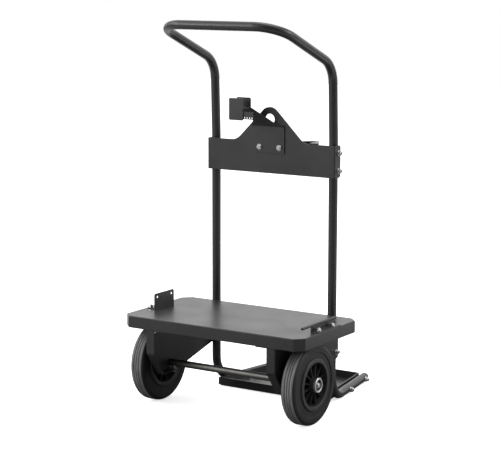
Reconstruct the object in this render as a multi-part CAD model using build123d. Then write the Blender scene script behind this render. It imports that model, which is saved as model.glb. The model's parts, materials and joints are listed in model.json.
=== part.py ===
from build123d import *
import os
from math import atan2, cos, radians, sin, tan

os.makedirs("parts", exist_ok=True)

# Two-wheel upright equipment trolley with a platform over the wheels and a gas-bottle tray behind.
# Millimetres. X to the right seen from the platform side, Y to the rear, Z up, floor at Z = 0.
# Every part is drawn with Y = 0 on the centre line of the uprights and then moved to DEPTH_SHIFT.

# ---- driving dimensions ----
DEPTH_SHIFT = 23.5            # uprights' centre line behind the middle of the overall depth

TUBE_D = 28.0
TUBE_WALL = 2.0
TUBE_HALF = 217.0             # half of the spacing of the two uprights
BEND_R = 84.0                 # centre-line bend radius, three tube diameters
FOOT_TOE_IN = 9.5             # degrees, the two foot tubes converge to the rear
FOOT_END_Y = 311.0
KINK_Z = 824.0                # the uprights lean forward from here
SHOULDER_Z = 1064.0
SHOULDER_Y = -8.8
HANDLE_ARM = 336.5
HANDLE_ANGLE = 68.1           # degrees from vertical, forward
HANDLE_HALF = 215.0
CAP_LENGTH = 9.0

PANEL_T = 3.0
PANEL_FRONT = -23.0           # front face, a little forward of the tubes
PANEL_BOTTOM = 719.0
PANEL_TOP = 819.0
PANEL_HALF = 235.0
PANEL_FLANGE_END = 12.0
PANEL_BEND_R = 4.0
HUMP_CENTRE_Z = 891.5
HUMP_R = 36.5
HOIST_HOLE_Z = 889.5
HOIST_HOLE_R = 17.5
HUMP_FOOT_R = 50.0
SIDE_BOLT_Z = (740.5, 796.0)

HOOK_HALF = 55.0
HOOK_BOTTOM = 784.0
HOOK_FOLD_Z = 867.0
HOOK_BOLT_X = 36.6
HOOK_BOLT_Z = 801.5
HOOK_BACK_Y = -60.0
HOOK_FRONT_Y = -104.0
HOOK_HEAD_LEFT = -100.0
HOOK_HEAD_RIGHT = -48.5
HOOK_HEAD_TOP = 957.5
HOOK_HEAD_BOTTOM = 889.0
HOOK_TROUGH_Z = 927.0
COMB_BOTTOM = 893.0
COMB_TOP = 916.0
COMB_PITCH = 9.0

CRADLE_T = 3.0
CRADLE_FLAT_HALF = 58.0
CRADLE_WING = 74.5
CRADLE_TOP = 822.5
CRADLE_BOTTOM = 776.0

PLATFORM_HALF = 325.0
PLATFORM_FRONT = -368.0
PLATFORM_REAR = -19.0
PLATFORM_TOP = 289.5
PLATFORM_SKIRT = 37.5
PLATFORM_T = 2.5
PLATFORM_CHAMFER = 26.0
PLATFORM_RETURN = 22.0

BRACKET_T = 3.0
BRACKET_FRONT = -365.0
BRACKET_KNEE_Z = 175.5
BRACKET_TOE_Y = -312.5
BRACKET_BOTTOM = 102.5
BRACKET_HEEL_Y = -176.0
BRACKET_FLANGE = 29.5
BRACKET_TOP_FLANGE = 68.0
BRACKET_REAR = 12.0
LUG_BOLT_Z = (170.0, 226.0)
TOP_BOLT_X = 210.0
TOP_BOLT_Y = (-355.0, -32.0)

AXLE_Y = -240.0
AXLE_D = 22.0
AXLE_BOLT_X = 219.0

WHEEL_D = 250.0
WHEEL_X = 275.0
TYRE_W = 50.0
TYRE_SHOULDER_R = 13.0
RIM_D = 160.0
RIM_DISH_D = 135.0
HUB_D = 46.0
HUB_OUT_X = 305.0
RING_R = 22.5
SEAL_R = 17.5
HUB_IN_X = 239.0
AXLE_END_X = 306.0
END_BOLT_D = 8.0
RIM_RIBS = 12
RUNNING_GAP = 0.05

TRAY_T = 3.0
TRAY_FLOOR_Z = 1.0
TRAY_TOP = 28.5
TRAY_FRONT = -1.5
TRAY_REAR = 301.0
TRAY_TUBE_GAP = 2.0
TRAY_FRONT_HALF = 208.5
TRAY_BOLT_Y = (141.0, 288.0)

BACK_STOP_X = -275.0
BACK_STOP_Y = (-262.0, -158.5)
BACK_STOP_HOLES = (-246.5, -171.0)
BACK_STOP_BOLTS = ((-308.0, -238.0), (-308.0, -174.0))
BACK_STOP_TOP = 342.0
SIDE_RAIL_X = 300.0
SIDE_RAIL_Y = (-266.0, -125.0)
SIDE_RAIL_TOP = 308.0
GUIDE_ROD_D = 8.5
GUIDE_ROD_Y = (-318.5, -121.0)
GUIDE_ROD_Z = 310.3
SIDE_RAIL_FLANGE = 322.5
SIDE_RAIL_BOLTS = ((311.0, -241.0), (311.0, -160.5))

BOLT_D = 8.0
BOLT_HOLE_R = 4.4
SMALL_BOLT_D = 6.0
TRAY_BOLT_Z = 13.0
LOCK_NUT_GRIP = 8.5           # how far a bolt reaches into its lock nut

TUBE_R = TUBE_D / 2
WHEEL_R = WHEEL_D / 2
PLATFORM_BOTTOM = PLATFORM_TOP - PLATFORM_SKIRT
AXLE_Z = WHEEL_R


# ---- helpers ----
def poly_yz(points, x0, x1):
    """A flat profile in the YZ plane, from x0 to x1."""
    face = Plane.YZ * make_face(Polyline(*[(y, z) for y, z in points], close=True))
    return Pos(x0, 0, 0) * extrude(face, amount=x1 - x0, dir=(1, 0, 0))


def poly_xz(points, y0, y1):
    """A flat profile in the XZ plane, from y0 to y1."""
    line = Polyline(*[(x, y0, z) for x, z in points], close=True)
    return extrude(make_face(line), amount=y1 - y0, dir=(0, 1, 0))


def poly_xy(points, z0, z1):
    """A flat profile in the XY plane, from z0 to z1."""
    line = Polyline(*[(x, y, z0) for x, y in points], close=True)
    return extrude(make_face(line), amount=z1 - z0, dir=(0, 0, 1))


def block(x0, x1, y0, y1, z0, z1):
    """A box given by its limits."""
    centre = Pos((x0 + x1) / 2, (y0 + y1) / 2, (z0 + z1) / 2)
    return centre * Box(abs(x1 - x0), abs(y1 - y0), abs(z1 - z0))


def rod(start, end, radius):
    """A round bar between two points."""
    direction = Vector(*end) - Vector(*start)
    plane = Plane(origin=start, z_dir=direction)
    return extrude(plane * Circle(radius), amount=direction.length)


def along(start, direction):
    """A placement with its Z axis along a direction."""
    return Plane(origin=start, z_dir=direction).location


def mirror_x(shape):
    """The same part on the other side of the trolley."""
    return mirror(shape, about=Plane.YZ)


def save(name, *solids):
    """Write one named part, moved to the shared frame."""
    moved = []
    for shape in solids:
        for solid in shape.solids():
            moved.append(Pos(0, DEPTH_SHIFT, 0) * solid)
    part = moved[0] if len(moved) == 1 else Compound(children=moved)
    export_step(part, f"parts/{name}.step")


def flange_bolt(seat, direction, grip, d=BOLT_D):
    """Hexagon flange bolt: the seat is under the flange, the shank runs along the direction."""
    head = Pos(0, 0, -0.24 * d) * extrude(RegularPolygon(0.81 * d, 6, major_radius=False), amount=-0.62 * d)
    head = chamfer(head.faces().sort_by(Axis.Z)[0].edges(), 0.08 * d)
    collar = Pos(0, 0, -0.12 * d) * Cylinder(1.1 * d, 0.24 * d)
    shank = Pos(0, 0, grip / 2) * Cylinder(d / 2, grip)
    shank = chamfer(shank.faces().sort_by(Axis.Z)[-1].edges(), 0.1 * d)
    return along(seat, direction) * (head + collar + shank)


def nut(seat, direction, d=BOLT_D):
    """Flange nut: the seat is under its collar, the nut stands up along the direction."""
    body = Pos(0, 0, 0.2 * d) * extrude(RegularPolygon(0.81 * d, 6, major_radius=False), amount=0.75 * d)
    body = chamfer(body.faces().sort_by(Axis.Z)[-1].edges(), 0.07 * d)
    collar = Pos(0, 0, 0.1 * d) * Cylinder(1.1 * d, 0.2 * d)
    hole = Pos(0, 0, d / 2) * Cylinder(d / 2 + 0.1, 3 * d)
    return along(seat, direction) * (body + collar - hole)


def lock_nut(seat, direction, d=BOLT_D):
    """Flange lock nut: as a flange nut, with a round crown that stands beyond the bolt end."""
    body = Pos(0, 0, 0.22 * d) * extrude(RegularPolygon(0.81 * d, 6, major_radius=False), amount=0.85 * d)
    body = chamfer(body.faces().sort_by(Axis.Z)[-1].edges(), 0.09 * d)
    crown = Pos(0, 0, 1.2 * d) * Cylinder(0.68 * d, 0.3 * d)
    crown = fillet(crown.faces().sort_by(Axis.Z)[-1].edges(), 0.08 * d)
    collar = Pos(0, 0, 0.11 * d) * Cylinder(1.12 * d, 0.22 * d)
    hole = Pos(0, 0, d / 2) * Cylinder(d / 2 + 0.1, 3 * d)
    return along(seat, direction) * (body + crown + collar - hole)


def foot_x(y, offset=0.0):
    """X of a line parallel to the right foot tube at a given Y, offset outwards from its axis."""
    return TUBE_HALF - y * tan(radians(FOOT_TOE_IN)) + offset / cos(radians(FOOT_TOE_IN))


# Unit vector across the right foot tube, pointing outwards.
FOOT_OUT = Vector(cos(radians(FOOT_TOE_IN)), sin(radians(FOOT_TOE_IN)), 0)
FOOT_BACK = Vector(-sin(radians(FOOT_TOE_IN)), cos(radians(FOOT_TOE_IN)), 0)


# ---- frame ----
def frame_path():
    """Centre line of the frame tube, from the right foot over the handle to the left foot."""
    corner_y = SHOULDER_Y - HANDLE_ARM * sin(radians(HANDLE_ANGLE))
    corner_z = SHOULDER_Z + HANDLE_ARM * cos(radians(HANDLE_ANGLE))
    right = [
        (foot_x(FOOT_END_Y), FOOT_END_Y, TUBE_R),
        (TUBE_HALF, 0, TUBE_R),
        (TUBE_HALF, 0, KINK_Z),
        (TUBE_HALF, SHOULDER_Y, SHOULDER_Z),
        (HANDLE_HALF, corner_y, corner_z),
    ]
    left = [(-x, y, z) for x, y, z in reversed(right)]
    return FilletPolyline(*right, *left, radius=BEND_R)


def frame_tube():
    path = frame_path()
    start = Plane(origin=path @ 0, z_dir=path % 0)
    outer = sweep(start * Circle(TUBE_R), path=path)
    inner = sweep(start * Circle(TUBE_R - TUBE_WALL), path=path)
    tube = outer - inner
    for side in (-1, 1):
        for z in SIDE_BOLT_Z + LUG_BOLT_Z:
            tube -= rod((side * 180, 0, z), (side * 260, 0, z), BOLT_HOLE_R)
    for y in TRAY_BOLT_Y:
        centre = Vector(foot_x(y), y, TRAY_BOLT_Z)
        hole = rod(centre - FOOT_OUT * 30, centre + FOOT_OUT * 30, BOLT_HOLE_R)
        tube -= hole
        tube -= mirror_x(hole)
    return tube


def foot_cap():
    """Rounded plastic plug in the open end of a foot tube."""
    end = Vector(foot_x(FOOT_END_Y), FOOT_END_Y, TUBE_R)
    dome = Pos(0, 0, CAP_LENGTH / 2) * Cylinder(TUBE_R, CAP_LENGTH)
    dome = fillet(dome.faces().sort_by(Axis.Z)[-1].edges(), CAP_LENGTH - 1.5)
    plug = Pos(0, 0, -9) * Cylinder(TUBE_R - TUBE_WALL - 0.1, 18)
    return along(end, FOOT_BACK) * (dome + plug)


# ---- crossbar panel ----
def crossbar_panel():
    """Folded panel across the uprights, with the hump and its hoist hole."""
    front = PANEL_FRONT
    apex = HUMP_CENTRE_Z + HUMP_R * 2 ** 0.5
    foot = apex - PANEL_TOP
    outline = Polyline(
        (-PANEL_HALF, PANEL_BOTTOM), (PANEL_HALF, PANEL_BOTTOM), (PANEL_HALF, PANEL_TOP),
        (foot, PANEL_TOP), (0, apex), (-foot, PANEL_TOP), (-PANEL_HALF, PANEL_TOP), close=True)
    sheet = make_face(outline)
    top = sheet.vertices().sort_by(Axis.Y)[-1]
    sheet = fillet(top, HUMP_R)
    feet = [v for v in sheet.vertices() if abs(abs(v.X) - foot) < 0.01]
    sheet = fillet(feet, HUMP_FOOT_R)
    sheet -= Pos(0, HOIST_HOLE_Z) * Circle(HOIST_HOLE_R)
    panel = Plane(origin=(0, front, 0), x_dir=(1, 0, 0), z_dir=(0, -1, 0)) * sheet
    panel = extrude(panel, amount=PANEL_T, dir=(0, 1, 0))
    for side in (-1, 1):
        flange = poly_yz(
            [(front, PANEL_BOTTOM), (PANEL_FLANGE_END - 5, PANEL_BOTTOM),
             (PANEL_FLANGE_END, PANEL_BOTTOM + 5), (PANEL_FLANGE_END, PANEL_TOP - 5),
             (PANEL_FLANGE_END - 5, PANEL_TOP), (front, PANEL_TOP)],
            side * PANEL_HALF - (PANEL_T if side > 0 else 0),
            side * PANEL_HALF + (0 if side > 0 else PANEL_T))
        panel += flange
    bends = panel.edges().filter_by(Axis.Z).filter_by(
        lambda e: abs(abs(e.center().X) - PANEL_HALF) < 0.01 and abs(e.center().Y - front) < 0.01)
    panel = fillet(bends, PANEL_BEND_R)
    for z in SIDE_BOLT_Z:
        panel -= rod((-PANEL_HALF - 5, 0, z), (-TUBE_HALF, 0, z), BOLT_HOLE_R)
        panel -= rod((TUBE_HALF, 0, z), (PANEL_HALF + 5, 0, z), BOLT_HOLE_R)
    for x in (-HOOK_BOLT_X, HOOK_BOLT_X):
        panel -= rod((x, PANEL_FRONT - 9, HOOK_BOLT_Z), (x, 0, HOOK_BOLT_Z), BOLT_HOLE_R)
    return panel


# ---- hook bracket ----
def hook_bracket():
    """Folded bracket: base plate, forward-leaning arm, and a head with an open trough."""
    back = PANEL_FRONT
    t = PANEL_T
    base = block(-HOOK_HALF, HOOK_HALF, back - t, back, HOOK_BOTTOM, HOOK_FOLD_Z)
    for x in (-HOOK_BOLT_X, HOOK_BOLT_X):
        base -= rod((x, back - 9, HOOK_BOLT_Z), (x, back + 1, HOOK_BOLT_Z), BOLT_HOLE_R)
    rise = HOOK_TROUGH_Z - HOOK_FOLD_Z
    run = back - HOOK_BACK_Y
    slope = poly_yz(
        [(back - t, HOOK_FOLD_Z), (back, HOOK_FOLD_Z), (back, HOOK_FOLD_Z + 1),
         (HOOK_BACK_Y + t, HOOK_TROUGH_Z), (HOOK_BACK_Y, HOOK_TROUGH_Z)],
        -120, 120)
    outline = poly_xz(
        [(-HOOK_HALF - 10, HOOK_FOLD_Z), (HOOK_HALF, HOOK_FOLD_Z), (HOOK_HALF - 2, HOOK_FOLD_Z + 5),
         (HOOK_HALF - 32, HOOK_FOLD_Z + 12), (HOOK_HEAD_RIGHT, HOOK_FOLD_Z + rise),
         (HOOK_HEAD_LEFT, HOOK_FOLD_Z + rise), (HOOK_HEAD_LEFT, COMB_TOP - 4),
         (-HOOK_HALF + 2, COMB_TOP - 16), (-HOOK_HALF - 2, HOOK_FOLD_Z + 12), (-HOOK_HALF - 10, HOOK_FOLD_Z + 6)],
        back - run - 10, back + 10)
    arm = slope & outline
    z_top = HOOK_HEAD_TOP
    back_wall = block(HOOK_HEAD_LEFT, HOOK_HEAD_RIGHT, HOOK_BACK_Y, HOOK_BACK_Y + t, HOOK_TROUGH_Z - 1, z_top)
    back_wall = fillet(back_wall.edges().filter_by(Axis.Y).sort_by(Axis.Z)[-2:], 5)
    floor = block(HOOK_HEAD_LEFT, HOOK_HEAD_RIGHT, HOOK_FRONT_Y, HOOK_BACK_Y + t, HOOK_TROUGH_Z - t, HOOK_TROUGH_Z)
    front = block(HOOK_HEAD_LEFT, HOOK_HEAD_RIGHT, HOOK_FRONT_Y, HOOK_FRONT_Y + t, HOOK_HEAD_BOTTOM, z_top)
    front = fillet(front.edges().filter_by(Axis.Y), 4)
    return base + arm + back_wall + floor + front


def hook_comb():
    """Slotted guard strip under the trough, with a row of small holes along its lower edge."""
    y = HOOK_FRONT_Y + PANEL_T
    strip = block(HOOK_HEAD_RIGHT - 14, HOOK_HEAD_RIGHT + 36, y, y + 2, COMB_BOTTOM, COMB_TOP)
    strip = chamfer(strip.edges().filter_by(Axis.Y).sort_by(Axis.X)[-2:], 3)
    for i in range(4):
        x = HOOK_HEAD_RIGHT + 4.5 + COMB_PITCH * i
        strip -= rod((x, y - 3, COMB_BOTTOM + 4.5), (x, y + 5, COMB_BOTTOM + 4.5), 2.3)
    return strip


# ---- bottle cradle ----
def bottle_cradle():
    """Bent strip behind the panel with two wings that centre a gas bottle."""
    y0 = PANEL_FRONT + PANEL_T
    t = CRADLE_T
    flat = block(-CRADLE_FLAT_HALF, CRADLE_FLAT_HALF, y0, y0 + t, CRADLE_BOTTOM, CRADLE_TOP)
    end_x = CRADLE_FLAT_HALF + CRADLE_WING
    end_y = y0 + CRADLE_WING
    step = t * 2 ** 0.5
    wing = poly_xy(
        [(CRADLE_FLAT_HALF - 2, y0), (CRADLE_FLAT_HALF, y0), (end_x, end_y),
         (end_x - step / 2, end_y + step / 2), (CRADLE_FLAT_HALF - step / 2, y0 + t), (CRADLE_FLAT_HALF - 2, y0 + t)],
        CRADLE_BOTTOM, CRADLE_TOP)
    brace = poly_xy(
        [(143, y0), (end_x - 4.5, end_y - 1.5), (end_x - 1.5, end_y + 0.5), (end_x, end_y), (173, y0)],
        CRADLE_TOP - t, CRADLE_TOP)
    flat = flat - block(-200, 200, y0 - 5, y0 + 10, PANEL_TOP - 3, CRADLE_TOP + 5)
    cradle = flat + wing + brace + mirror_x(wing)
    for x in (-HOOK_BOLT_X, HOOK_BOLT_X):
        cradle -= rod((x, PANEL_FRONT - 9, HOOK_BOLT_Z), (x, 0, HOOK_BOLT_Z), BOLT_HOLE_R)
    return cradle


# ---- platform ----
def chamfered_rectangle(inset):
    """Plan outline of the platform, moved inwards by an inset."""
    x = PLATFORM_HALF - inset
    y0 = PLATFORM_FRONT + inset
    y1 = PLATFORM_REAR - inset
    c = PLATFORM_CHAMFER - inset * (2 - 2 ** 0.5)
    return [(-x + c, y0), (x - c, y0), (x, y0 + c), (x, y1 - c), (x - c, y1), (-x + c, y1), (-x, y1 - c), (-x, y0 + c)]


def platform():
    """Folded sheet platform with skirt and inward return flange."""
    body = poly_xy(chamfered_rectangle(0), PLATFORM_BOTTOM, PLATFORM_TOP)
    body = fillet(body.faces().sort_by(Axis.Z)[-1].edges(), 2.4)
    body -= poly_xy(chamfered_rectangle(PLATFORM_T), PLATFORM_BOTTOM + PLATFORM_T, PLATFORM_TOP - PLATFORM_T)
    body -= poly_xy(chamfered_rectangle(PLATFORM_RETURN), PLATFORM_BOTTOM - 1, PLATFORM_BOTTOM + PLATFORM_T + 1)
    for x, y in BACK_STOP_BOLTS + SIDE_RAIL_BOLTS:
        body -= rod((x, y, PLATFORM_TOP - 5), (x, y, PLATFORM_TOP + 5), BOLT_HOLE_R)
    for x in (-TOP_BOLT_X, TOP_BOLT_X):
        for y in TOP_BOLT_Y:
            body -= rod((x, y, PLATFORM_BOTTOM - 5), (x, y, PLATFORM_BOTTOM + 6), SMALL_BOLT_D / 2 + 0.3)
    return body


# ---- wheel brackets ----
def wheel_bracket():
    """Right-hand folded bracket between the upright, the platform and the axle."""
    x1 = TUBE_HALF + TUBE_R + BRACKET_T
    x0 = x1 - BRACKET_FLANGE
    top = PLATFORM_BOTTOM
    outline = [
        (BRACKET_FRONT, top), (BRACKET_FRONT, BRACKET_KNEE_Z), (BRACKET_TOE_Y, BRACKET_BOTTOM),
        (BRACKET_HEEL_Y, BRACKET_BOTTOM), (-1, 147), (BRACKET_REAR, 153.5), (BRACKET_REAR, top)]
    full = poly_yz(outline, x0, x1)
    plate = poly_yz(outline, x1 - BRACKET_T, x1)
    slope = atan2(BRACKET_KNEE_Z - BRACKET_BOTTOM, BRACKET_TOE_Y - BRACKET_FRONT)
    knee = BRACKET_T * tan((radians(90) - slope) / 2)
    toe = BRACKET_T * tan(slope / 2)
    hollow = poly_yz(
        [(BRACKET_FRONT + BRACKET_T, top - BRACKET_T), (BRACKET_FRONT + BRACKET_T, BRACKET_KNEE_Z + knee),
         (BRACKET_TOE_Y + toe, BRACKET_BOTTOM + BRACKET_T), (200, BRACKET_BOTTOM + BRACKET_T), (200, top - BRACKET_T)],
        x0 - 5, x1 - BRACKET_T)
    rim = full - hollow
    rim -= block(x0 - 5, x1 - BRACKET_T, BRACKET_HEEL_Y, 50, BRACKET_BOTTOM - 5, top - BRACKET_T)
    rim -= block(x0 - 5, x1 - BRACKET_T, -TUBE_R - 4, 50, top - 20, top + 5)
    top_flange = block(x1 - BRACKET_TOP_FLANGE, x1, BRACKET_FRONT, -TUBE_R - 4, top - BRACKET_T, top)
    bracket = plate + rim + top_flange
    outer_bends = bracket.edges().filter_by(
        lambda e: abs(e.center().X - x1) < 0.01 and e.center().Y < BRACKET_HEEL_Y and e.center().Z < top - 1)
    bracket = fillet(outer_bends, BRACKET_T - 0.2)
    bracket -= rod((x0, AXLE_Y, AXLE_Z), (x1 + 5, AXLE_Y, AXLE_Z), AXLE_D / 2 + RUNNING_GAP)
    for z in LUG_BOLT_Z:
        bracket -= rod((TUBE_HALF, 0, z), (x1 + 5, 0, z), BOLT_HOLE_R)
    bracket -= rod((AXLE_BOLT_X, AXLE_Y, BRACKET_BOTTOM - 5), (AXLE_BOLT_X, AXLE_Y, BRACKET_BOTTOM + 8), BOLT_HOLE_R)
    for y in TOP_BOLT_Y:
        bracket -= rod((TOP_BOLT_X, y, top - 6), (TOP_BOLT_X, y, top + 5), SMALL_BOLT_D / 2 + 0.3)
    return bracket


# ---- axle and wheels ----
def axle():
    """Steel bar through both brackets and both wheels, tapped from below and at its ends."""
    bar = rod((-AXLE_END_X, AXLE_Y, AXLE_Z), (AXLE_END_X, AXLE_Y, AXLE_Z), AXLE_D / 2)
    bar = chamfer(bar.edges().filter_by(GeomType.CIRCLE), 1)
    for x in (-AXLE_BOLT_X, AXLE_BOLT_X):
        bar -= rod((x, AXLE_Y, AXLE_Z - 20), (x, AXLE_Y, AXLE_Z + 1), BOLT_D / 2)
    for side in (-1, 1):
        deep = (side * (AXLE_END_X - 25), AXLE_Y, AXLE_Z)
        bar -= rod(deep, (side * (AXLE_END_X + 5), AXLE_Y, AXLE_Z), END_BOLT_D / 2)
    return bar


def revolve_about_axle(points):
    """Revolve (X, radius) points about the axle line."""
    line = Polyline(*[(x, AXLE_Y, AXLE_Z + r) for x, r in points], close=True)
    return revolve(make_face(line), axis=Axis((0, AXLE_Y, AXLE_Z), (1, 0, 0)))


def tyre():
    """Solid rubber tyre with grooved tread and stepped side walls."""
    c = WHEEL_X
    h = TYRE_W / 2
    s = TYRE_SHOULDER_R
    arc = [(s * sin(radians(a)), s * (1 - cos(radians(a)))) for a in (0, 15, 30, 45, 60, 75, 90)]
    right = [(c + h - s + dx, WHEEL_R - dr) for dx, dr in arc]
    right += [(c + h, 99.5), (c + h - 2.5, 98), (c + h - 2.5, RIM_D / 2)]
    left = [(2 * c - x, r) for x, r in reversed(right)]
    body = revolve_about_axle(left + right)
    for dx in (-8.5, 0, 8.5):
        groove = [(-1.6, 1), (-0.8, -2), (0.8, -2), (1.6, 1)]
        body -= revolve_about_axle([(c + dx + gx, WHEEL_R + gr) for gx, gr in groove])
    return body


def rim():
    """Plastic wheel centre: barrel, web, ribs and hub."""
    c = WHEEL_X
    h = TYRE_W / 2
    outer = RIM_D / 2
    dish = RIM_DISH_D / 2
    barrel = revolve_about_axle(
        [(c - h, outer), (c + h, outer), (c + h + 2, outer - 2), (c + h + 2, dish + 1), (c + h + 1, dish),
         (c + 4, dish - 3), (c - 4, dish - 3), (c - h - 1, dish), (c - h - 2, dish + 1), (c - h - 2, outer - 2)])
    web = revolve_about_axle([(c - 3, AXLE_D / 2 + 1), (c + 3, AXLE_D / 2 + 1), (c + 3, dish - 1), (c - 3, dish - 1)])
    hub = revolve_about_axle(
        [(HUB_IN_X, AXLE_D / 2 + RUNNING_GAP), (HUB_OUT_X, AXLE_D / 2 + RUNNING_GAP),
         (HUB_OUT_X, HUB_D / 2 - 3), (c + 18, HUB_D / 2), (c - 18, HUB_D / 2), (HUB_IN_X, HUB_D / 2 - 3)])
    body = barrel + web + hub
    for i in range(RIM_RIBS):
        rib = poly_xz(
            [(c - 20, 20), (c + 20, 20), (c + 17, dish - 2), (c - 17, dish - 2)], -0.8, 0.8)
        rib = Rot(360 / RIM_RIBS * (i + 0.5), 0, 0) * rib
        body += Pos(0, AXLE_Y, AXLE_Z) * rib
    body -= revolve_about_axle(
        [(HUB_IN_X - 5, 0.0), (HUB_OUT_X + 5, 0.0), (HUB_OUT_X + 5, AXLE_D / 2 + RUNNING_GAP),
         (HUB_IN_X - 5, AXLE_D / 2 + RUNNING_GAP)])
    return body


def bearing_ring():
    """Zinc-plated outer ring of the wheel bearing, standing proud of the hub."""
    x = HUB_OUT_X
    return revolve_about_axle(
        [(x, SEAL_R), (x, RING_R), (x + 6.5, RING_R), (x + 8, RING_R - 1.5), (x + 8, SEAL_R + 1), (x + 7, SEAL_R)])


def bearing_seal():
    """Black seal inside the bearing ring, running on the axle."""
    x = HUB_OUT_X
    r = AXLE_D / 2 + RUNNING_GAP
    return revolve_about_axle([(x, r), (x, SEAL_R), (x + 4, SEAL_R), (x + 3, 13.2), (x + 0.7, 13.2), (x + 0.7, r)])


def end_bolt():
    """Bolt with a washer head that closes the axle end."""
    x = AXLE_END_X
    return flange_bolt((x, AXLE_Y, AXLE_Z), (-1, 0, 0), 20, END_BOLT_D)


def spacer_washer():
    """Washer between the bracket and the wheel hub."""
    x = TUBE_HALF + TUBE_R + BRACKET_T
    ring = rod((x, AXLE_Y, AXLE_Z), (HUB_IN_X - 0.5, AXLE_Y, AXLE_Z), 19)
    return ring - rod((x - 1, AXLE_Y, AXLE_Z), (HUB_IN_X + 1, AXLE_Y, AXLE_Z), AXLE_D / 2 + 0.2)


# ---- bottle tray ----
def tray_outline(inset, y0, y1):
    """Plan outline between the foot tubes, walls parallel to them."""
    offset = -TUBE_R - TRAY_TUBE_GAP - inset
    front_x = min(TUBE_HALF - TUBE_R - TRAY_TUBE_GAP - inset, foot_x(y0, offset))
    return [(-front_x, y0), (front_x, y0), (foot_x(y1, offset), y1), (-foot_x(y1, offset), y1)]


def bottle_tray():
    """Folded tray between the foot tubes."""
    body = poly_xy(tray_outline(0, TRAY_FRONT, TRAY_REAR), TRAY_FLOOR_Z, TRAY_TOP)
    body = fillet(body.faces().sort_by(Axis.Z)[0].edges(), 2.5)
    body -= poly_xy(tray_outline(TRAY_T, TRAY_FRONT + TRAY_T, TRAY_REAR - TRAY_T), TRAY_FLOOR_Z + TRAY_T, TRAY_TOP + 5)
    body += block(-TRAY_FRONT_HALF, TRAY_FRONT_HALF, TRAY_FRONT, TRAY_FRONT + TRAY_T, TRAY_FLOOR_Z + TRAY_T, TRAY_TOP)
    for y in TRAY_BOLT_Y:
        centre = Vector(foot_x(y), y, TRAY_BOLT_Z)
        hole = rod(centre - FOOT_OUT * 30, centre, BOLT_HOLE_R)
        body -= hole
        body -= mirror_x(hole)
    return body


# ---- fittings on the platform ----
def back_stop():
    """Upright plate with two corner holes and a bolted foot, left end of the platform."""
    y0, y1 = BACK_STOP_Y
    z = PLATFORM_TOP
    plate = block(BACK_STOP_X - 3, BACK_STOP_X, y0, y1, z, BACK_STOP_TOP)
    plate = fillet(plate.edges().filter_by(Axis.X).sort_by(Axis.Z)[-2:], 6)
    foot = block(-319, BACK_STOP_X, y0 + 12, y1 - 2, z, z + 3)
    foot = chamfer(foot.edges().filter_by(Axis.Z).sort_by(Axis.X)[:2], 9)
    body = plate + foot
    for y in BACK_STOP_HOLES:
        body -= rod((BACK_STOP_X - 9, y, BACK_STOP_TOP - 12), (BACK_STOP_X + 9, y, BACK_STOP_TOP - 12), BOLT_HOLE_R)
    for x, y in BACK_STOP_BOLTS:
        body -= rod((x, y, z - 2), (x, y, z + 8), BOLT_HOLE_R)
    return body


def side_rail():
    """Low plate with a bolted foot that carries the guide rod, right end of the platform."""
    y0, y1 = SIDE_RAIL_Y
    z = PLATFORM_TOP
    plate = block(SIDE_RAIL_X - 3, SIDE_RAIL_X, y0, y1, z, SIDE_RAIL_TOP)
    foot = block(SIDE_RAIL_X - 3, SIDE_RAIL_FLANGE, y0, y1, z, z + 3)
    foot = chamfer(foot.edges().filter_by(Axis.Z).sort_by(Axis.X)[-2:], 5)
    body = plate + foot
    for x, y in SIDE_RAIL_BOLTS:
        body -= rod((x, y, z - 2), (x, y, z + 8), BOLT_HOLE_R)
    body -= rod((SIDE_RAIL_X - 1.5, y0 - 5, GUIDE_ROD_Z), (SIDE_RAIL_X - 1.5, y1 + 5, GUIDE_ROD_Z), GUIDE_ROD_D / 2)
    return body


def guide_rod():
    """Round rod welded along the top of the side rail."""
    x = SIDE_RAIL_X - 1.5
    bar = rod((x, GUIDE_ROD_Y[0], GUIDE_ROD_Z), (x, GUIDE_ROD_Y[1], GUIDE_ROD_Z), GUIDE_ROD_D / 2)
    return chamfer(bar.edges().filter_by(GeomType.CIRCLE), 0.8)


# ---- fasteners ----
def crossbar_bolts():
    grip = 2 * TUBE_R + PANEL_HALF - TUBE_HALF - TUBE_R + LOCK_NUT_GRIP
    right = [flange_bolt((TUBE_HALF - TUBE_R, 0, z), (1, 0, 0), grip) for z in SIDE_BOLT_Z]
    return right + [mirror_x(b) for b in right]


def crossbar_nuts():
    right = [lock_nut((PANEL_HALF, 0, z), (1, 0, 0)) for z in SIDE_BOLT_Z]
    return right + [mirror_x(n) for n in right]


def lug_bolts():
    grip = 2 * TUBE_R + BRACKET_T + LOCK_NUT_GRIP
    right = [flange_bolt((TUBE_HALF - TUBE_R, 0, z), (1, 0, 0), grip) for z in LUG_BOLT_Z]
    return right + [mirror_x(b) for b in right]


def lug_nuts():
    x = TUBE_HALF + TUBE_R + BRACKET_T
    right = [lock_nut((x, 0, z), (1, 0, 0)) for z in LUG_BOLT_Z]
    return right + [mirror_x(n) for n in right]


def hook_bolts():
    y = PANEL_FRONT - PANEL_T
    grip = 2 * PANEL_T + CRADLE_T + 9
    return [flange_bolt((x, y, HOOK_BOLT_Z), (0, 1, 0), grip) for x in (-HOOK_BOLT_X, HOOK_BOLT_X)]


def hook_nuts():
    y = PANEL_FRONT + PANEL_T + CRADLE_T
    return [nut((x, y, HOOK_BOLT_Z), (0, 1, 0)) for x in (-HOOK_BOLT_X, HOOK_BOLT_X)]


def axle_bolts():
    """Clamp screws from below, through the bracket flange into the axle."""
    grip = AXLE_Z - BRACKET_BOTTOM
    return [flange_bolt((x, AXLE_Y, BRACKET_BOTTOM), (0, 0, 1), grip) for x in (-AXLE_BOLT_X, AXLE_BOLT_X)]


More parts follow.
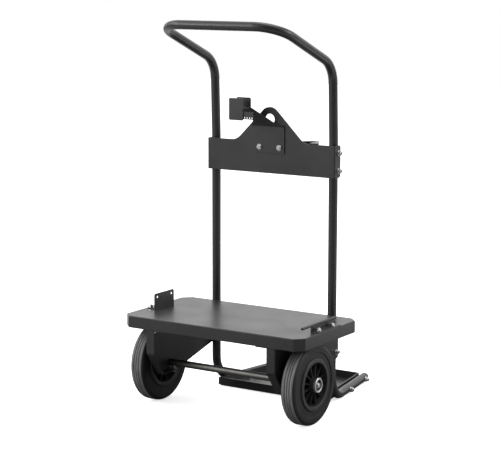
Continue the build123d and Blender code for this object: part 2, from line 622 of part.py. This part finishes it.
def axle_nuts():
    z = BRACKET_BOTTOM + BRACKET_T
    return [nut((x, AXLE_Y, z), (0, 0, 1)) for x in (-AXLE_BOLT_X, AXLE_BOLT_X)]


def tray_bolts():
    right = []
    for y in TRAY_BOLT_Y:
        seat = Vector(foot_x(y), y, TRAY_BOLT_Z) - FOOT_OUT * (TUBE_R + TRAY_TUBE_GAP + TRAY_T)
        right.append(flange_bolt(seat, FOOT_OUT, 2 * TUBE_R + TRAY_TUBE_GAP + TRAY_T + LOCK_NUT_GRIP))
    return right + [mirror_x(b) for b in right]


def tray_nuts():
    right = []
    for y in TRAY_BOLT_Y:
        seat = Vector(foot_x(y), y, TRAY_BOLT_Z) + FOOT_OUT * TUBE_R
        right.append(lock_nut(seat, FOOT_OUT))
    return right + [mirror_x(n) for n in right]


def stop_bolts(places):
    """Bolts from under the platform, through the foot of a fitting."""
    z = PLATFORM_TOP - PLATFORM_T
    return [flange_bolt((x, y, z), (0, 0, 1), PLATFORM_T + 3 + 1.2 * BOLT_D) for x, y in places]


def stop_nuts(places):
    z = PLATFORM_TOP + 3
    return [nut((x, y, z), (0, 0, 1)) for x, y in places]


def platform_bolts():
    z = PLATFORM_BOTTOM + PLATFORM_T
    right = [flange_bolt((TOP_BOLT_X, y, z), (0, 0, -1), 14, SMALL_BOLT_D) for y in TOP_BOLT_Y]
    return right + [mirror_x(b) for b in right]


def platform_nuts():
    z = PLATFORM_BOTTOM - BRACKET_T
    right = [nut((TOP_BOLT_X, y, z), (0, 0, -1), SMALL_BOLT_D) for y in TOP_BOLT_Y]
    return right + [mirror_x(n) for n in right]


# ---- write the parts ----
cap = foot_cap()
bracket = wheel_bracket()
tyre_right = tyre()
rim_right = rim()
ring_right = bearing_ring()
seal_right = bearing_seal()
end_right = end_bolt()
spacer_right = spacer_washer()

save("frame_tube", frame_tube())
save("foot_caps", cap, mirror_x(cap))
save("crossbar_panel", crossbar_panel())
save("hook_bracket", hook_bracket())
save("hook_comb", hook_comb())
save("bottle_cradle", bottle_cradle())
save("platform", platform())
save("wheel_bracket_right", bracket)
save("wheel_bracket_left", mirror_x(bracket))
save("axle", axle())
save("tyre_right", tyre_right)
save("tyre_left", mirror_x(tyre_right))
save("rim_right", rim_right)
save("rim_left", mirror_x(rim_right))
save("bearing_ring_right", ring_right)
save("bearing_ring_left", mirror_x(ring_right))
save("bearing_seal_right", seal_right)
save("bearing_seal_left", mirror_x(seal_right))
save("axle_end_bolts", end_right, mirror_x(end_right))
save("spacer_washers", spacer_right, mirror_x(spacer_right))
save("bottle_tray", bottle_tray())
save("back_stop", back_stop())
save("side_rail", side_rail())
save("guide_rod", guide_rod())
save("crossbar_bolts", *crossbar_bolts())
save("crossbar_nuts", *crossbar_nuts())
save("lug_bolts", *lug_bolts())
save("lug_nuts", *lug_nuts())
save("hook_bolts", *hook_bolts())
save("hook_nuts", *hook_nuts())
save("axle_bolts", *axle_bolts())
save("axle_nuts", *axle_nuts())
save("tray_bolts", *tray_bolts())
save("tray_nuts", *tray_nuts())
save("back_stop_bolts", *stop_bolts(BACK_STOP_BOLTS))
save("back_stop_nuts", *stop_nuts(BACK_STOP_BOLTS))
save("side_rail_bolts", *stop_bolts(SIDE_RAIL_BOLTS))
save("side_rail_nuts", *stop_nuts(SIDE_RAIL_BOLTS))
save("platform_bolts", *platform_bolts())
save("platform_nuts", *platform_nuts())
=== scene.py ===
import json
import math
import bpy
from mathutils import Matrix, Vector


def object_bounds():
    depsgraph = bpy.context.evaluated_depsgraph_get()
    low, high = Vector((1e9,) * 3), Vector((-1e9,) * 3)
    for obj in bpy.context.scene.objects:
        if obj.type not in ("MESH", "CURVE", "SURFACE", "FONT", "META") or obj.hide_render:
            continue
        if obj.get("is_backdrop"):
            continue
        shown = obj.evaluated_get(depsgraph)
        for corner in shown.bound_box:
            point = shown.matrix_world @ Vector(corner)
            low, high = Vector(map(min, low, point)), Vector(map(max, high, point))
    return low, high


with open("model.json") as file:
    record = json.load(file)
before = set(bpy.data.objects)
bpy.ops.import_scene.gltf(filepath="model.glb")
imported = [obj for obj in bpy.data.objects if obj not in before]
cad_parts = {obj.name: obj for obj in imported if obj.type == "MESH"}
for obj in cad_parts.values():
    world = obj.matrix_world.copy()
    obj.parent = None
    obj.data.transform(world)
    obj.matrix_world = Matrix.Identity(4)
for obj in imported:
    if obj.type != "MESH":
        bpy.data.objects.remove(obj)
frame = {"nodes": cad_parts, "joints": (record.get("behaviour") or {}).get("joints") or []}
NODES = frame["nodes"]


def as_lists(bounds):
    """The bounds as plain nested lists of numbers."""
    if isinstance(bounds, dict):
        return {k: as_lists(v) for k, v in bounds.items()}
    if isinstance(bounds, (str, int, float)) or bounds is None:
        return bounds
    return [as_lists(v) for v in bounds]


CAD_SIZE = as_lists(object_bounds())

# ---------------------------------------------------------------- materials

# Each surface drifts between its two colours, given as linear RGB.
PAINT_DARK = (0.0190, 0.0190, 0.0196)
PAINT_LIGHT = (0.0240, 0.0240, 0.0248)
PAINT_DUST = (0.05, 0.05, 0.05)
ZINC_BLUE = (0.74, 0.75, 0.76)
ZINC_WARM = (0.68, 0.67, 0.64)
AXLE_BARE = (0.20, 0.196, 0.187)
AXLE_TARNISH = (0.15, 0.147, 0.138)
WALL_DARK = (0.016, 0.016, 0.0165)
WALL_LIGHT = (0.026, 0.026, 0.0266)
# The tread colours are lighter than the walls as a painted reflection of the light on the tread.
TREAD_SHEEN_DARK = (0.120, 0.120, 0.119)
TREAD_SHEEN_LIGHT = (0.200, 0.200, 0.197)
PLASTIC_DARK = (0.026, 0.026, 0.0267)
PLASTIC_LIGHT = (0.037, 0.037, 0.0382)

# Each wheel body's centre is the place of its joint.
WHEEL_CENTRE = {joint["child"]: tuple(joint["pos_m"]) for joint in frame["joints"]}
WALL_END_DEPTH = 0.0022        # metres in from the tyre's outside, where its wall ends
TREAD_DEPTH = 0.0012           # and where the tread begins

EDGE_SOFTENING = 0.0008        # radius of the paint over folded and cut edges


class Tree:
    """Small helper around a material's node tree."""

    def __init__(self, name):
        self.mat = bpy.data.materials.new(name)
        self.mat.use_nodes = True
        self.nodes = self.mat.node_tree.nodes
        self.links = self.mat.node_tree.links
        self.bsdf = self.nodes["Principled BSDF"]
        coord = self.nodes.new("ShaderNodeTexCoord")
        self.position = coord.outputs["Object"]

    def link(self, a, b):
        self.links.new(a, b)

    def noise(self, scale, detail, rough=0.55, stretch=None):
        """Noise over the object's own position, stretched if a scale for each axis is given."""
        node = self.nodes.new("ShaderNodeTexNoise")
        node.inputs["Scale"].default_value = scale
        node.inputs["Detail"].default_value = detail
        node.inputs["Roughness"].default_value = rough
        place = self.position
        if stretch:
            mapping = self.nodes.new("ShaderNodeMapping")
            mapping.inputs["Scale"].default_value = stretch
            self.link(place, mapping.inputs["Vector"])
            place = mapping.outputs["Vector"]
        self.link(place, node.inputs["Vector"])
        return node.outputs["Fac"]

    def remap(self, value, a0, a1, b0, b1):
        """The value's range a0 to a1 turned into b0 to b1."""
        node = self.nodes.new("ShaderNodeMapRange")
        node.inputs["From Min"].default_value = a0
        node.inputs["From Max"].default_value = a1
        node.inputs["To Min"].default_value = b0
        node.inputs["To Max"].default_value = b1
        self.link(value, node.inputs["Value"])
        return node.outputs["Result"]

    def mix(self, factor, low, high):
        """Colour between low and high by a 0 to 1 factor."""
        node = self.nodes.new("ShaderNodeMix")
        node.data_type = "RGBA"
        self.link(factor, node.inputs["Factor"])
        for socket, value in ((node.inputs["A"], low), (node.inputs["B"], high)):
            if hasattr(value, "is_output"):
                self.link(value, socket)
            else:
                socket.default_value = (*value, 1)
        return node.outputs["Result"]

    def drift(self, cloud, low, high, start=0.35, end=0.65):
        """Colour that drifts between low and high as the noise goes from start to end."""
        return self.mix(self.remap(cloud, start, end, 0, 1), low, high)

    def vector(self, operation, value, other=None):
        """A vector maths node. A length is a number, and any other result is a vector."""
        node = self.nodes.new("ShaderNodeVectorMath")
        node.operation = operation
        self.link(value, node.inputs[0])
        if other:
            node.inputs[1].default_value = other
        return node.outputs["Value" if operation == "LENGTH" else "Vector"]

    def bump(self, heights, strengths, distance=0.0004, edge=0.0):
        """Chain of bumps, one for each height, over edges softened by a radius."""
        normal = None
        if edge:
            bevel = self.nodes.new("ShaderNodeBevel")
            bevel.samples = 6
            bevel.inputs["Radius"].default_value = edge
            normal = bevel.outputs["Normal"]
        for height, strength in zip(heights, strengths):
            node = self.nodes.new("ShaderNodeBump")
            node.inputs["Strength"].default_value = strength
            node.inputs["Distance"].default_value = distance
            self.link(height, node.inputs["Height"])
            if normal:
                self.link(normal, node.inputs["Normal"])
            normal = node.outputs["Normal"]
        self.link(normal, self.bsdf.inputs["Normal"])

    def shade(self, **values):
        """Sets or links the surface's inputs, such as Base_Color or Roughness."""
        for key, value in values.items():
            socket = self.bsdf.inputs[key.replace("_", " ")]
            if hasattr(value, "is_output"):
                self.link(value, socket)
            elif isinstance(value, tuple):
                socket.default_value = (*value, 1)
            else:
                socket.default_value = value


def powder_coat(name):
    """Satin black powder coat: fine orange peel, faint dust and rub marks."""
    t = Tree(name)
    peel = t.noise(900, 2)
    cloud = t.noise(7, 5)
    dust = t.noise(160, 3)
    base = t.drift(cloud, PAINT_DARK, PAINT_LIGHT)
    colour = t.mix(t.remap(dust, 0.74, 0.82, 0, 0.35), base, PAINT_DUST)
    t.shade(Base_Color=colour, Roughness=t.remap(cloud, 0.3, 0.7, 0.30, 0.39), Specular_IOR_Level=0.42)
    t.bump([peel, dust], [0.10, 0.05], edge=EDGE_SOFTENING)
    return t.mat


def zinc(name, rough):
    """Blue-white zinc plate with finger marks, bright or satin by its lowest roughness."""
    t = Tree(name)
    cloud = t.noise(60, 4)
    fine = t.noise(1500, 2)
    colour = t.drift(cloud, ZINC_BLUE, ZINC_WARM)
    t.shade(Base_Color=colour, Metallic=1.0, Roughness=t.remap(cloud, 0.3, 0.7, rough, rough + 0.14))
    t.bump([fine], [0.08], 0.0002)
    return t.mat


def axle_steel(name):
    """Drawn bar with lengthwise draw lines and faint brown tarnish."""
    t = Tree(name)
    lines = t.noise(40, 3, 0.6, (1.5, 40, 40))
    cloud = t.noise(18, 5)
    colour = t.drift(cloud, AXLE_BARE, AXLE_TARNISH)
    t.shade(Base_Color=colour, Metallic=1.0, Roughness=t.remap(lines, 0.3, 0.7, 0.48, 0.58))
    t.bump([lines], [0.12], 0.0002)
    return t.mat


def rubber(name, centre):
    """Solid rubber: black walls with mould grain, and a tread painted lighter grey in streaks, a painted
    reflection of the light on the tread.
    """
    t = Tree(name)
    wheel_radius = centre[2]       # the wheel stands on the floor
    grain = t.noise(700, 3)
    bloom = t.noise(22, 5)
    streak = t.noise(90, 3, 0.6, (1.0, 0.15, 0.15))
    from_centre = t.vector("SUBTRACT", t.position, centre)
    across_axle = t.vector("MULTIPLY", from_centre, (0, 1, 1))
    radius = t.vector("LENGTH", across_axle)
    tread = t.remap(radius, wheel_radius - WALL_END_DEPTH, wheel_radius - TREAD_DEPTH, 0, 1)
    wall = t.drift(bloom, WALL_DARK, WALL_LIGHT, end=0.7)
    # Painted reflection: the tread is painted a lighter grey, in streaks, for the light it reflects.
    tread_painted_sheen = t.drift(streak, TREAD_SHEEN_DARK, TREAD_SHEEN_LIGHT)
    t.shade(Base_Color=t.mix(tread, wall, tread_painted_sheen), Roughness=t.remap(bloom, 0.3, 0.7, 0.50, 0.62),
            Specular_IOR_Level=0.30)
    t.bump([grain, bloom], [0.16, 0.05])
    return t.mat


def moulded_plastic(name, rough):
    """Injection-moulded plastic: flow clouds and light texture."""
    t = Tree(name)
    grain = t.noise(1100, 2)
    cloud = t.noise(14, 4)
    colour = t.drift(cloud, PLASTIC_DARK, PLASTIC_LIGHT)
    t.shade(Base_Color=colour, Roughness=t.remap(cloud, 0.3, 0.7, rough - 0.05, rough + 0.06))
    t.bump([grain], [0.08], 0.0003)
    return t.mat


PAINT = powder_coat("black_powder_coat")
ZINC = zinc("zinc_plated_steel", 0.16)
SATIN_ZINC = zinc("satin_zinc", 0.36)
WHEEL_PLASTIC = moulded_plastic("wheel_plastic", 0.42)
CAP_PLASTIC = moulded_plastic("black_plastic", 0.5)

FINISH = {
    "axle": axle_steel("axle_steel"),
    "axle_end_bolts": SATIN_ZINC,
    "bearing_ring_left": SATIN_ZINC,
    "bearing_ring_right": SATIN_ZINC,
    "bearing_seal_left": CAP_PLASTIC,
    "bearing_seal_right": CAP_PLASTIC,
    "foot_caps": CAP_PLASTIC,
    "rim_left": WHEEL_PLASTIC,
    "rim_right": WHEEL_PLASTIC,
    "spacer_washers": ZINC,
    "tyre_left": rubber("solid_rubber_left", WHEEL_CENTRE["wheel_left"]),
    "tyre_right": rubber("solid_rubber_right", WHEEL_CENTRE["wheel_right"]),
}


def finish_for(node):
    """The node's own finish, zinc for the other bolts and nuts, and paint for the rest."""
    if node in FINISH:
        return FINISH[node]
    if node.endswith(("_bolts", "_nuts")):
        return ZINC
    return PAINT


for name, obj in NODES.items():
    obj.data.materials.clear()
    obj.data.materials.append(finish_for(name))
    for polygon in obj.data.polygons:
        polygon.material_index = 0

# ---------------------------------------------------------------- floor

FLOOR_HALF = 12
SWEEP_LIGHT = (0.88, 0.88, 0.88)
SWEEP_DARK = (0.86, 0.86, 0.86)
SWEEP_GLOW = 0.66

# What the object has reflected back at it: little from close by, more from the open floor
# around it, above all behind it, and less again where the lit floor ends.
BOUNCE_NEAR = (0.15, 0.15, 0.15)
BOUNCE_FRONT = (0.60, 0.60, 0.60)
BOUNCE_FRONT_END = (0.15, 0.15, 0.15)
BOUNCE_REAR = (0.95, 0.95, 0.95)
BOUNCE_REAR_END = (0.35, 0.35, 0.35)


def pale_floor():
    """White paper sweep, lit evenly enough that only contact shadows show."""
    t = Tree("pale_floor")
    cloud = t.noise(1.5, 3)
    seen = t.mix(cloud, SWEEP_DARK, SWEEP_LIGHT)
    distance = t.vector("LENGTH", t.position)
    open_floor = t.remap(distance, 1.15, 1.65, 0, 1)
    beyond = t.remap(distance, 2.2, 4.5, 0, 1)
    axes = t.nodes.new("ShaderNodeSeparateXYZ")
    t.link(t.position, axes.inputs[0])
    rearward = t.remap(axes.outputs["Y"], -0.5, 0.8, 0, 1)
    front = t.mix(beyond, BOUNCE_FRONT, BOUNCE_FRONT_END)
    rear = t.mix(beyond, BOUNCE_REAR, BOUNCE_REAR_END)
    bounced = t.mix(open_floor, BOUNCE_NEAR, t.mix(rearward, front, rear))
    to_camera_ray = t.nodes.new("ShaderNodeLightPath").outputs["Is Camera Ray"]
    t.shade(Base_Color=t.mix(to_camera_ray, bounced, seen), Roughness=0.95, Specular_IOR_Level=0.0)
    t.shade(Emission_Color=(1, 1, 1), Emission_Strength=t.remap(to_camera_ray, 0, 1, 0.0, SWEEP_GLOW))
    return t.mat


corners = [(x * FLOOR_HALF, y * FLOOR_HALF, 0) for x, y in ((-1, -1), (1, -1), (1, 1), (-1, 1))]
floor_mesh = bpy.data.meshes.new("floor")
floor_mesh.from_pydata(corners, [], [(0, 1, 2, 3)])
floor = bpy.data.objects.new("floor", floor_mesh)
bpy.context.collection.objects.link(floor)
floor.data.materials.append(pale_floor())
floor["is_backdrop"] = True

# ---------------------------------------------------------------- light

BACKDROP = 1.0                 # what the camera sees behind the object
SURROUND = 0.95                # what the object reflects from most sides
FRONT_RIGHT_DIM = 0.10         # the dark side of the studio, in place of the surround
REAR_LIFT = 1.4                # how much brighter the rear left is


def facing(nodes, links, ray, towards, fade, values):
    """A number that goes smoothly from one value to the other as a ray turns towards a direction."""
    dot = nodes.new("ShaderNodeVectorMath")
    dot.operation = "DOT_PRODUCT"
    dot.inputs[1].default_value = Vector(towards).normalized()
    links.new(ray, dot.inputs[0])
    result = nodes.new("ShaderNodeMapRange")
    result.interpolation_type = "SMOOTHSTEP"
    for socket, number in zip(("From Min", "From Max", "To Min", "To Max"), (*fade, *values)):
        result.inputs[socket].default_value = number
    links.new(dot.outputs["Value"], result.inputs["Value"])
    return result.outputs["Result"]


def studio_world():
    """White surround. The object's reflections are dimmer from the front right, where the studio is dark."""
    world = bpy.data.worlds.new("studio")
    world.use_nodes = True
    nodes, links = world.node_tree.nodes, world.node_tree.links
    background = nodes["Background"]
    ray = nodes.new("ShaderNodeTexCoord").outputs["Generated"]
    shade = facing(nodes, links, ray, (0.72, -0.68, 0.10), (0.45, 0.93), (SURROUND, FRONT_RIGHT_DIM))
    lift = facing(nodes, links, ray, (-0.53, 0.84, 0.10), (0.35, 0.95), (1.0, REAR_LIFT))
    both = nodes.new("ShaderNodeMath")
    both.operation = "MULTIPLY"
    links.new(shade, both.inputs[0])
    links.new(lift, both.inputs[1])
    path = nodes.new("ShaderNodeLightPath")
    pick = nodes.new("ShaderNodeMix")
    links.new(path.outputs["Is Camera Ray"], pick.inputs["Factor"])
    links.new(both.outputs["Value"], pick.inputs["A"])
    pick.inputs["B"].default_value = BACKDROP
    background.inputs["Color"].default_value = (1, 1, 1, 1)
    links.new(pick.outputs["Result"], background.inputs["Strength"])
    bpy.context.scene.world = world


def area_light(name, location, target, size, power):
    data = bpy.data.lights.new(name, "AREA")
    data.shape = "RECTANGLE"
    data.size, data.size_y = size
    data.energy = power
    obj = bpy.data.objects.new(name, data)
    obj.location = location
    direction = Vector(target) - Vector(location)
    obj.rotation_euler = direction.to_track_quat("-Z", "Y").to_euler()
    bpy.context.collection.objects.link(obj)


studio_world()
bpy.context.scene.view_settings.view_transform = "Standard"

# name, place, point aimed at, width and height, watts
area_light("key", (-3.2, -2.0, 3.0), (0, 0, 0.4), (2.4, 2.4), 62)
area_light("top", (0.0, 0.6, 4.2), (0, 0, 0.5), (2.6, 1.6), 56)
area_light("front_fill", (-3.0, -4.0, 2.2), (0, 0, 0.5), (2.4, 2.0), 85)
area_light("right_fill", (4.2, 2.2, 3.0), (0, 0, 0.4), (2.0, 2.0), 105)

# ---------------------------------------------------------------- camera

# A long lens at the photograph's viewing angle: 33 degrees round to the right, 9 degrees up.
AZIMUTH = math.radians(32.871)
ELEVATION = math.radians(8.915)
ROLL = math.radians(0.098)
DISTANCE = 5.2831
TARGET = Vector((-0.10373, 0.0235, 0.55453))
LENS_MM = 118.72
SENSOR_MM = 36
SHIFT_X = 0.00831
SHIFT_Y = -0.00745

to_camera = Vector((
    math.sin(AZIMUTH) * math.cos(ELEVATION),
    -math.cos(AZIMUTH) * math.cos(ELEVATION),
    math.sin(ELEVATION)))
right = Vector((math.cos(AZIMUTH), math.sin(AZIMUTH), 0))
up = to_camera.cross(right)
camera_right = right * math.cos(ROLL) + up * math.sin(ROLL)
camera_up = to_camera.cross(camera_right)
turn = Matrix((camera_right, camera_up, to_camera)).transposed().to_4x4()

camera_data = bpy.data.cameras.new("camera")
camera_data.lens = LENS_MM
camera_data.sensor_width = SENSOR_MM
camera_data.shift_x = SHIFT_X
camera_data.shift_y = SHIFT_Y
camera = bpy.data.objects.new("camera", camera_data)
bpy.context.collection.objects.link(camera)
camera.matrix_world = Matrix.Translation(TARGET + to_camera * DISTANCE) @ turn
bpy.context.scene.camera = camera

{"cad": CAD_SIZE, "visual": as_lists(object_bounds())}
